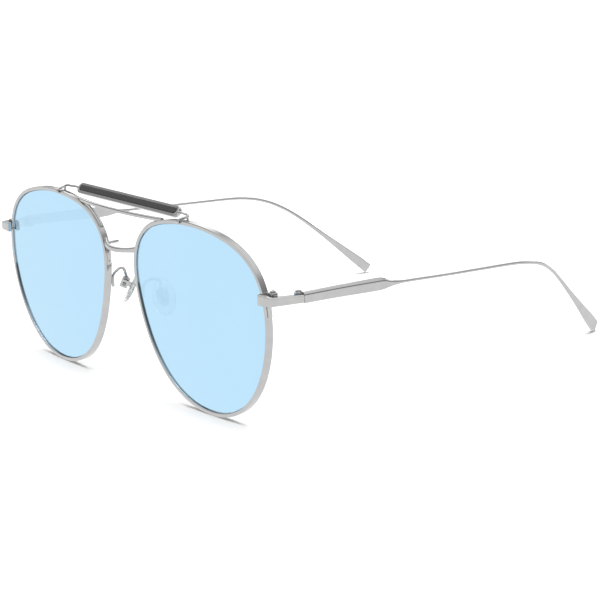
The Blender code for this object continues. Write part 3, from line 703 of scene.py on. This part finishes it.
def build_lens(prefix, side):
    """Coated front, tinted back, and an edge ground to a bevel that sits in the rim's groove."""
    front, rear = LENS_RECESS, LENS_RECESS + LENS_THICKNESS
    angles = ring_angles(192)
    shares = [0.02, *np.linspace(0.12, 0.96, 15)]

    def face(share, depth):
        flats = [outline_point(angle, -0.08) * share for angle in angles]
        return [from_lens_plane(*flat, depth) + Vector((0.0, 0.0, LENS_CENTRE_Z)) for flat in flats]

    rings = [face(share, front) for share in shares]
    edge = ((-0.12, front), (-0.05, front + 0.08), (LENS_BEVEL, (front + rear) / 2), (-0.05, rear - 0.08))
    rings += [[rim_point(angle, *corner) for angle in angles] for corner in (*edge, (-0.12, rear))]
    rings += [face(share, rear) for share in reversed(shares)]
    bm = loft(rings)
    piece = new_piece(prefix + "_mirror_lens", bm, [MIRROR, LENS_BODY], side, weighted=False)
    coated = len(shares) * len(angles)
    for index, polygon in enumerate(piece.data.polygons):
        is_front_cap = index == len(piece.data.polygons) - 2
        polygon.material_index = 0 if index < coated or is_front_cap else 1
    belongs(piece, "front", "lens", prefix + "_lens")


def rim_section():
    """(outward, backward) section of the rim wire: rounded outside, with the groove for the lens."""
    middle = LENS_RECESS + LENS_THICKNESS / 2
    half = LENS_THICKNESS / 2 - 0.08
    corners = ((0.0, 0.0), (RIM_WIDTH, 0.0), (RIM_WIDTH, RIM_DEPTH), (0.0, RIM_DEPTH))
    outer = fillet(corners, (RIM_ROUND * 1.1, RIM_ROUND, RIM_ROUND, RIM_ROUND * 0.7), steps=5)
    groove = [Vector((0.0, middle + half)), Vector((GROOVE_DEPTH, middle)), Vector((0.0, middle - half))]
    return outer + groove + [Vector((0.0, LENS_RECESS - SEAT_SHADE))]


def build_rim(prefix, side):
    """A ring of flat wire, split at the temple side."""
    split = angle_at_height(SPLIT_Z, True)
    half_gap = SPLIT_GAP / 2 / lens_radius(split)
    angles = np.linspace(split + half_gap, split + math.tau - half_gap, RIM_STATIONS + 1)
    section = rim_section()
    bm = loft([[rim_point(angle, *corner) for corner in section] for angle in angles])
    piece = new_piece(prefix + "_rim_wire", bm, [SILVER, SEAT], side)
    count = len(section)
    # The groove's faces and the strip in front of the lens take the seat finish, painted near black as
    # shade.
    for index, polygon in enumerate(piece.data.polygons):
        place = index % count
        polygon.material_index = 1 if count - 4 <= place < count - 1 and index < count * RIM_STATIONS else 0
    belongs(piece, "front", "silver", prefix + "_rim")


# --- bars ---------------------------------------------------------------------------------------


def bar(half, middle, end, height, depth, flare, stations=81):
    """A bar along X whose centre line bows from middle to end, swelling towards its ends."""
    rings = []
    for x in np.linspace(-half, half, stations):
        share = (x / half) ** 2
        y = middle[0] + (end[0] - middle[0]) * share
        z = middle[1] + (end[1] - middle[1]) * share
        a = depth / 2 + flare * share**3 * 0.4
        b = height / 2 + flare * share**3
        section = fillet(((-a, -b), (-a, b), (a, b), (a, -b)), BAR_ROUNDS, steps=5)
        rings.append([Vector((x, y + dy, z + dz)) for dy, dz in section])
    return loft(rings)


def rim_strip(top_z, bottom_z, mirrored, steps=36):
    """A thin strip brazed along the nose side of a rim, its ends feathered out."""
    rings = []
    low, high = FOOT_DEPTHS
    for share in np.linspace(0.0, 1.0, steps):
        angle = angle_at_height(top_z + (bottom_z - top_z) * share, False)
        far = RIM_WIDTH + 0.02 + FOOT_THICKNESS * min(1.0, 6.0 * share, 6.0 * (1.0 - share)) ** 0.5
        section = fillet(((RIM_WIDTH - 0.2, low), (far, low), (far, high), (RIM_WIDTH - 0.2, high)), 0.12)
        ring = [rim_point(angle, *corner) for corner in section]
        rings.append([Vector((-point.x if mirrored else point.x, point.y, point.z)) for point in ring])
    return loft(rings)


def stud(x, front_y, z):
    """Round pin along Y with a domed end."""
    radius = STUD_RADIUS
    profile = [(radius, front_y), (radius, STUD_REAR_Y - 0.2), (radius * 0.86, STUD_REAR_Y - 0.06)]
    profile.append((radius * 0.5, STUD_REAR_Y))
    return turned(profile, lambda a, b, y: Vector((x + a, y, z + b)), sides=28)


def build_bridge():
    bodies = [bar(**BRIDGE)]
    for mirrored in (False, True):
        bodies.append(rim_strip(*BRIDGE_STRIP, mirrored))
    share = (STUD_X / BRIDGE["half"]) ** 2
    bar_y, bar_z = (m + (e - m) * share for m, e in zip(BRIDGE["middle"], BRIDGE["end"]))
    for side in SIDES.values():
        bodies.append(stud(STUD_X * side, bar_y, bar_z))
    piece = new_piece("nose_bridge", joined(*bodies), [SILVER])
    belongs(piece, "front", "silver", "bridge")


def build_cross_bar():
    bodies = [bar(**CROSS)]
    for mirrored in (False, True):
        bodies.append(rim_strip(*CROSS_STRIP, mirrored))
    piece = new_piece("upper_cross_bar", joined(*bodies), [SILVER])
    belongs(piece, "front", "silver", "cross_bar")


def brow_plane(along, across, out):
    """Point on the leaning face of the brow bar; out is measured off the face, towards the front."""
    return Vector(
        (
            along,
            BROW_Y + across * math.sin(BROW_LEAN) - out * math.cos(BROW_LEAN),
            BROW_Z + across * math.cos(BROW_LEAN) + out * math.sin(BROW_LEAN),
        )
    )


def stadium(half_length, half_width, arc_steps=18):
    """Outline with two straight sides and round ends."""
    points = []
    for centre, start in ((half_length - half_width, -90.0), (half_width - half_length, 90.0)):
        for step in range(arc_steps + 1):
            angle = math.radians(start + 180.0 * step / arc_steps)
            points.append((centre + half_width * math.cos(angle), half_width * math.sin(angle)))
    return points


def brow_layers(half, half_width, layers):
    """Loft of stadium outlines; each layer is (out, shrink)."""
    rings = []
    for out, shrink in layers:
        rings.append([brow_plane(a, b, out) for a, b in stadium(half - shrink, half_width - shrink)])
    return loft(rings)


def build_brow_bar():
    """Plate with a round back and a rounded lip round the recess that holds the inlay."""
    wall = BROW_WIDTH / 2 - INLAY_WIDTH / 2 - INLAY_GAP
    back = []
    for turn in np.linspace(0, math.pi / 2, 7):
        out = -BROW_THICKNESS + BROW_BACK_ROUND * (1 - math.cos(turn))
        back.append((out, BROW_BACK_ROUND * (1 - math.sin(turn))))
    lip = []
    for turn in np.linspace(0, math.pi / 2, 6):
        out = -BROW_LIP_ROUND + BROW_LIP_ROUND * math.sin(turn)
        lip.append((out, BROW_LIP_ROUND * (1 - math.cos(turn))))
    inside = [(0.0, wall - 0.08), (-0.04, wall - 0.02), (-0.1, wall), (-INLAY_DEPTH, wall)]
    piece = new_piece("brow_plate", brow_layers(BROW_HALF, BROW_WIDTH / 2, back + lip + inside), [SILVER])
    belongs(piece, "front", "silver", "brow_bar")

    crown = [(-INLAY_DEPTH + INLAY_GAP, 0.0), (-0.12, 0.0), (-0.07, 0.02)]
    crown += [(-0.04, 0.08), (-0.03, 0.3), (-0.03, 0.6)]
    inlay = new_piece("brow_inlay", brow_layers(INLAY_HALF, INLAY_WIDTH / 2, crown), [INLAY])
    belongs(inlay, "front", "inlay", "brow_bar_inlay")


def build_brow_clip(prefix, side):
    """Wire from the end of the brow bar, out to a corner, then forward over the rim to a claw."""
    rim_top = rim_point(angle_of_x(CLIP_X), RIM_WIDTH, RIM_DEPTH / 2)
    claw_y = rim_point(angle_of_x(CLIP_X), RIM_WIDTH, 0.0).y - CLIP_WIRE - 0.04
    corner_z = rim_top.z + 0.9
    bar_end = brow_plane(BROW_HALF, 0.0, -BROW_THICKNESS / 2)
    path = (
        (bar_end.x - 0.3, bar_end.y - 0.3, bar_end.z + 0.2),
        (bar_end.x + 1.6, bar_end.y - 0.5, bar_end.z + 0.36),
        (bar_end.x + 3.3, bar_end.y - 0.85, bar_end.z + 0.34),
        (CLIP_X - 0.9, 2.95, corner_z + 0.28),
        (CLIP_X + 0.1, 2.65, corner_z),
        (CLIP_X + 0.05, 1.9, corner_z - 0.2),
        (CLIP_X - 0.15, 0.8, corner_z - 0.36),
        (CLIP_X - 0.35, claw_y + 0.45, corner_z - 0.55),
        (CLIP_X - 0.5, claw_y, rim_top.z - 0.1),
        (CLIP_X - 0.55, claw_y, rim_top.z - 0.7),
    )
    foot_x = CLIP_X + 0.05
    foot = tube(((foot_x, CLIP_FOOT_Y, rim_top.z - 0.7), (foot_x, CLIP_FOOT_Y, corner_z)), CLIP_WIRE * 0.9)
    piece = new_piece(prefix + "_clip_wire", joined(tube(path, CLIP_WIRE), foot), [SILVER], side)
    belongs(piece, "front", "silver", prefix + "_brow_clip")


# --- endpieces, closing blocks and hinges ---------------------------------------------------------


def endpiece_ring(outer, inner, low, high):
    """Upright section of the endpiece, with a wide bevel at the top of its outer side."""
    across = Vector(inner) - Vector(outer)
    thick = across.length
    bevel = ENDPIECE_BEVEL
    corners = ((0.0, low), (0.0, high - bevel), (bevel, high), (thick, high), (thick, low))
    points = fillet(corners, (0.12, 0.09, 0.09, 0.12, 0.12))
    return [Vector((*(Vector(outer) + across * (a / thick)), z)) for a, z in points]


def endpiece_levels(part, share, inset=0.0):
    """Bottom and top of the endpiece at a share of the way along one of its three parts."""
    (low, high), (next_low, next_high) = ENDPIECE_HEIGHTS[part : part + 2]
    return low + (next_low - low) * share + inset, high + (next_high - high) * share - inset


def build_endpiece(prefix, side):
    """Square plate across the front of the rim, folded back at the corner to the hinge."""
    start, before, bend, after = (
        Vector(point) for point in (ENDPIECE_INNER, ENDPIECE_OUTER, ENDPIECE_BEND, ENDPIECE_CORNER)
    )
    joint_outer = Vector((JOINT_X, JOINT_Y - JOINT_SEAM))
    joint_inner = joint_outer - Vector((PLATE, 0.0))
    fold = Vector((after.x - PLATE - 0.25, ENDPIECE_REAR))
    fold_end = fold + Vector((0.2, 0.2))
    rings = []
    step = (ENDPIECE_STEP_X - start.x) / (before.x - start.x)
    for share in (0.0, 0.01, step, step + 0.02, 0.96):
        inset = END_INSET if share == 0.0 else 0.0
        outer = start.lerp(before, share)
        rear = ENDPIECE_REAR if share > step else ENDPIECE_END_REAR
        inner = (min(outer.x, fold.x), rear - inset)
        rings.append(endpiece_ring((outer.x, outer.y + inset), inner, *endpiece_levels(0, share, inset)))
    for share in np.linspace(0.0, 1.0, 7):
        outer = before.lerp(bend, share).lerp(bend.lerp(after, share), share)
        rings.append(endpiece_ring(outer, fold.lerp(fold_end, share), *endpiece_levels(1, share)))
    for share in (0.04, 0.35, 0.7, 0.996, 1.0):
        inset = END_INSET if share == 1.0 else 0.0
        outer, inner = after.lerp(joint_outer, share), fold_end.lerp(joint_inner, share)
        levels = endpiece_levels(2, share, inset)
        rings.append(endpiece_ring((outer.x - inset, outer.y), (inner.x + inset, inner.y), *levels))
    piece = new_piece(prefix + "_endpiece_plate", loft(rings), [SILVER], side)
    belongs(piece, "front", "silver", prefix + "_endpiece")


def refined(prefix, node, name, body, slot, material, width=0.07, sharp=30.0):
    """A copy of a CAD node's mesh with its flat faces merged again and its edges rounded."""
    bm = bmesh.new()
    bm.from_mesh(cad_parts[prefix + node].data)
    bmesh.ops.remove_doubles(bm, verts=bm.verts, dist=1e-6)
    bmesh.ops.dissolve_limit(bm, angle_limit=math.radians(1.0), verts=bm.verts, edges=bm.edges)
    mesh = bpy.data.meshes.new(prefix + name)
    bm.to_mesh(mesh)
    bm.free()
    mesh.materials.append(material)
    mesh.shade_smooth()
    mesh.set_sharp_from_angle(angle=math.radians(sharp))
    piece = bpy.data.objects.new(prefix + name, mesh)
    bpy.context.scene.collection.objects.link(piece)
    add_weighted_normals(piece)
    add_bevel(piece, width, segments=2, angle=sharp)
    belongs(piece, body, slot, prefix + node)
    return piece


def screw(name, side, frame_of, shaft, head, body, node):
    """Turned screw with a domed head and a slot. shaft and head are (radius, low, high)."""
    radius, low, neck = shaft
    wide, under, top = head
    profile = [(radius * 0.7, low), (radius, low + 0.1), (radius, neck)]
    profile += [(wide * 0.96, under), (wide, under + 0.04)]
    dome = []
    for turn in np.linspace(0, 1.35, 7):
        dome.append((wide * math.cos(turn), under + (top - under) * (0.35 + 0.65 * math.sin(turn))))
    piece = new_piece(name, turned(profile + dome, frame_of), [STEEL], side)
    cutter = []
    for height in (top - 0.45 * (top - under), top + 1.0):
        cutter.append([frame_of(a, b, height) for a, b in ((-2, -0.12), (2, -0.12), (2, 0.12), (-2, 0.12))])
    combine(piece, loft(cutter), "DIFFERENCE", side)
    belongs(piece, body, "screw", node)


def build_fasteners(prefix, side):
    """The screws of the closing blocks and of the hinge."""
    low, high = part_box(prefix + "_closing_screw")
    head_low = high.z / MM - BLOCK_SCREW_HEAD
    screw(
        prefix + "_rim_screw",
        side,
        upright(BLOCK_SCREW),
        (0.4, low.z / MM, head_low),
        (0.8, head_low, high.z / MM),
        "front",
        prefix + "_closing_screw",
    )
    low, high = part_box(prefix + "_hinge_screw")
    head_low = high.z / MM - HINGE_SCREW_HEAD
    screw(
        prefix + "_hinge_pin",
        side,
        upright((HINGE_X, JOINT_Y)),
        (0.45, low.z / MM, head_low),
        (0.85, head_low, high.z / MM),
        "front",
        prefix + "_hinge_screw",
    )


# --- temples ----------------------------------------------------------------------------------------


def temple_section(half_thickness, face, bevel, edge, radius):
    """Section of a temple: a flat outer face with a bevel above it, with all its corners rounded."""
    a = half_thickness
    top = face + bevel
    crease = min(CREASE, bevel * 0.5)
    corners = ((a, -face), (a, face - crease * 0.6), (a - crease * CREASE_LEAN, face + crease * 0.4))
    corners += ((a - bevel, top), (-a + edge, top), (-a, top - edge))
    corners += ((-a, -face), (-a + edge, -face - edge), (a - edge, -face - edge))
    return fillet(corners, (radius, 0.05, 0.05, *[radius] * 6), steps=4)


def round_row(y, x, z, radius):
    """A temple row whose section is a circle: an octagon that its corner radius rounds off."""
    corner = radius * (2.0 - math.sqrt(2.0))
    return (y, x, z, radius, radius - corner, corner, corner, radius)


def build_temple(prefix, side):
    rows = [*TEMPLE_BLADE, *(round_row(*row) for row in TEMPLE_WIRE), *TEMPLE_TIP]
    first, last = rows[0][0], rows[-1][0]
    places = [first, first + 0.05, *np.linspace(first + 0.4, last - 0.4, 210), last - 0.06, last]
    stations = even_curve(rows, places)
    centres = [Vector((row[1], row[0], row[2])) for row in stations]
    rings = []
    for index, row in enumerate(stations):
        before = centres[max(index - 1, 0)]
        after = centres[min(index + 1, len(centres) - 1)]
        along = (after - before).normalized() if index > 1 else Vector((0.0, 1.0, 0.0))
        outward = Vector((along.y, -along.x, 0.0)).normalized()
        upward = outward.cross(along)
        size = 0.93 if index in (0, len(stations) - 1) else 1.0
        section = temple_section(*row[3:])
        rings.append([centres[index] + (outward * p + upward * q) * size for p, q in section])
    piece = new_piece(prefix + "_temple_arm", loft(rings), [SILVER], side)
    belongs(piece, prefix + "_temple_body", "silver", prefix + "_temple")


# --- nose pads ----------------------------------------------------------------------------------------


def pad_axes():
    """(facing, wide, long) directions of a left pad: facing the nose, forward, and up its length."""
    across = math.cos(PAD_LEAN)
    length = Vector((-math.sin(PAD_SPLAY) * across, math.sin(PAD_LEAN), math.cos(PAD_SPLAY) * across))
    facing = Vector((-math.cos(PAD_FRONTAL), math.sin(PAD_FRONTAL), 0.0))
    facing = (facing - length * facing.dot(length)).normalized()
    return facing, length.cross(facing), length


PAD_AXES = pad_axes()


def from_pad(facing, wide, length):
    return Vector(PAD_BOX) + PAD_AXES[0] * facing + PAD_AXES[1] * wide + PAD_AXES[2] * length


def pad_oval(scale, facing, count=72):
    """Egg-shaped outline, a little wider at the bottom."""
    points = []
    for angle in ring_angles(count):
        wide = (PAD_WIDE - 0.45 * math.sin(angle)) * scale * math.cos(angle)
        points.append(from_pad(facing, wide, PAD_LONG * scale * math.sin(angle) - PAD_DROP))
    return points


def build_pad(prefix, side):
    """Soft lens-shaped pad with a rolled edge and a faint step where it was moulded."""
    body = loft([pad_oval(scale, PAD_REAR + height) for scale, height in PAD_LAYERS])
    pad = new_piece(prefix + "_silicone_pad", body, [SILICONE], side, sharp=60.0, weighted=False)
    belongs(pad, prefix + "_pad_body", "pad", prefix + "_nose_pad")


def build_pad_hardware(prefix, side):
    """Arm of bent wire with its square foot, and the screw."""
    top = BOX_SIZE[2] / 2
    path = [*ARM_POINTS, from_pad(0.0, 0.0, top + ARM_FOOT)]
    foot_rings = []
    for height, shrink in ((top + 0.04, 0.04), (top + 0.1, 0.0), (top + 0.38, 0.0), (top + 0.47, 0.08)):
        half = 0.8 - shrink
        foot = fillet(((half, half), (-half, half), (-half, -half), (half, -half)), 0.2)
        foot_rings.append([from_pad(a, b, height) for a, b in foot])
    arm = new_piece(prefix + "_pad_arm", joined(tube(path, ARM_WIRE), loft(foot_rings)), [SILVER], side)
    belongs(arm, "front", "silver", prefix + "_nose_pad_arm")

    half_wide = BOX_SIZE[1] / 2
    screw(
        prefix + "_pad_pin",
        side,
        lambda a, b, height: from_pad(a, height, b),
        (PAD_SCREW, -half_wide + 0.3, half_wide + 0.06),
        (0.6, half_wide + 0.06, half_wide + 0.6),
        "front",
        prefix + "_pad_screw",
    )


def build_side(prefix, side):
    build_rim(prefix, side)
    build_lens(prefix, side)
    build_brow_clip(prefix, side)
    build_endpiece(prefix, side)
    build_fasteners(prefix, side)
    build_temple(prefix, side)
    build_pad(prefix, side)
    build_pad_hardware(prefix, side)
    refined(prefix, "_upper_closing_block", "_rim_block_upper", "front", "silver", SILVER, 0.12)
    refined(prefix, "_lower_closing_block", "_rim_block_lower", "front", "silver", SILVER, 0.05)
    refined(prefix, "_front_hinge", "_hinge_front", "front", "silver", SILVER, 0.06)
    refined(prefix, "_temple_hinge", "_hinge_rear", prefix + "_temple_body", "silver", SILVER, 0.06)
    refined(prefix, "_pad_box", "_pad_clasp", "front", "silver", SILVER, 0.1)
    refined(prefix, "_pad_core", "_pad_stem", prefix + "_pad_body", "silver", SILVER, 0.06)


# --- studio -------------------------------------------------------------------------------------------


def build_floor():
    """Large table top, just under the rims and the temple tips."""
    bm = bmesh.new()
    corners = [bm.verts.new((x, y, -0.0001)) for x, y in TABLE]
    bm.faces.new(corners)
    mesh = bpy.data.meshes.new("table_top")
    bm.to_mesh(mesh)
    bm.free()
    mesh.materials.append(floor_finish())
    table = bpy.data.objects.new("table_top", mesh)
    bpy.context.scene.collection.objects.link(table)


def ramp_of(tree, source, stops):
    """Grey levels through (position, level) stops."""
    ramp = tree.nodes.new("ShaderNodeValToRGB")
    elements = ramp.color_ramp.elements
    while len(elements) < len(stops):
        elements.new(0.5)
    for element, (position, level) in zip(elements, stops):
        element.position = position
        element.color = (level, level, level, 1.0)
    tree.links.new(source, ramp.inputs["Fac"])
    return ramp.outputs["Color"]


def build_sky():
    """A light tent: dim at the horizon, bright above and on one side. Behind it the backdrop is white."""
    world = bpy.data.worlds.new("studio")
    bpy.context.scene.world = world
    world.use_nodes = True
    tree = world.node_tree
    tree.nodes.clear()
    place = tree.nodes.new("ShaderNodeTexCoord").outputs["Generated"]
    split = tree.nodes.new("ShaderNodeSeparateXYZ")
    raise_up = tree.nodes.new("ShaderNodeMapRange")
    towards = tree.nodes.new("ShaderNodeVectorMath")
    side = tree.nodes.new("ShaderNodeMapRange")
    blend = tree.nodes.new("ShaderNodeMix")
    tent = tree.nodes.new("ShaderNodeBackground")
    backdrop = tree.nodes.new("ShaderNodeBackground")
    path = tree.nodes.new("ShaderNodeLightPath")
    mix = tree.nodes.new("ShaderNodeMixShader")
    output = tree.nodes.new("ShaderNodeOutputWorld")
    tree.links.new(place, split.inputs["Vector"])
    tree.links.new(split.outputs["Z"], raise_up.inputs["Value"])
    raise_up.inputs["From Min"].default_value = -1.0
    towards.operation = "DOT_PRODUCT"
    towards.inputs[1].default_value = BRIGHT_SIDE
    tree.links.new(place, towards.inputs[0])
    side.inputs["From Min"].default_value, side.inputs["From Max"].default_value = BRIGHT_SPAN
    tree.links.new(towards.outputs["Value"], side.inputs["Value"])
    blend.data_type = "RGBA"
    tree.links.new(side.outputs["Result"], blend.inputs["Factor"])
    tree.links.new(ramp_of(tree, raise_up.outputs["Result"], DIM_LEVELS), blend.inputs["A"])
    tree.links.new(ramp_of(tree, raise_up.outputs["Result"], BRIGHT_LEVELS), blend.inputs["B"])
    tree.links.new(blend.outputs["Result"], tent.inputs["Color"])
    tree.links.new(path.outputs["Is Camera Ray"], mix.inputs["Fac"])
    tree.links.new(tent.outputs["Background"], mix.inputs[1])
    tree.links.new(backdrop.outputs["Background"], mix.inputs[2])
    tree.links.new(mix.outputs["Shader"], output.inputs["Surface"])
    backdrop.inputs["Color"].default_value = (1.0, 1.0, 1.0, 1.0)
    backdrop.inputs["Strength"].default_value = 1.1
    tent.inputs["Strength"].default_value = TENT_STRENGTH


def build_overhead_light():
    """Broad soft light from straight above. It draws the narrow shadow where the rims touch the table."""
    data = bpy.data.lights.new("overhead_light", "SUN")
    data.energy = OVERHEAD_POWER
    data.angle = OVERHEAD_SPREAD
    light = bpy.data.objects.new("overhead_light", data)
    light.visible_glossy = False
    bpy.context.scene.collection.objects.link(light)


def build_camera():
    azimuth, elevation, roll = (math.radians(a) for a in (CAMERA_AZIMUTH, CAMERA_ELEVATION, CAMERA_ROLL))
    level = math.cos(elevation)
    back = Vector((math.sin(azimuth) * level, -math.cos(azimuth) * level, math.sin(elevation)))
    right = Vector((math.cos(azimuth), math.sin(azimuth), 0.0))
    up = back.cross(right)
    tilted_right = right * math.cos(roll) + up * math.sin(roll)
    tilted_up = up * math.cos(roll) - right * math.sin(roll)
    data = bpy.data.cameras.new("camera")
    data.lens = CAMERA_LENS
    data.sensor_width = 36.0
    data.shift_x = CAMERA_SHIFT
    data.clip_start = 0.01
    data.clip_end = 20.0
    camera = bpy.data.objects.new("camera", data)
    rotation = Matrix((tilted_right, tilted_up, back)).transposed().to_4x4()
    camera.matrix_world = Matrix.Translation(Vector(CAMERA_PLACE) * MM) @ rotation
    bpy.context.scene.collection.objects.link(camera)
    bpy.context.scene.camera = camera


for side_name, side_sign in SIDES.items():
    build_side(side_name, side_sign)
build_bridge()
build_cross_bar()
build_brow_bar()
build_floor()
build_sky()
build_overhead_light()
build_camera()
bpy.context.scene.view_settings.view_transform = "Standard"
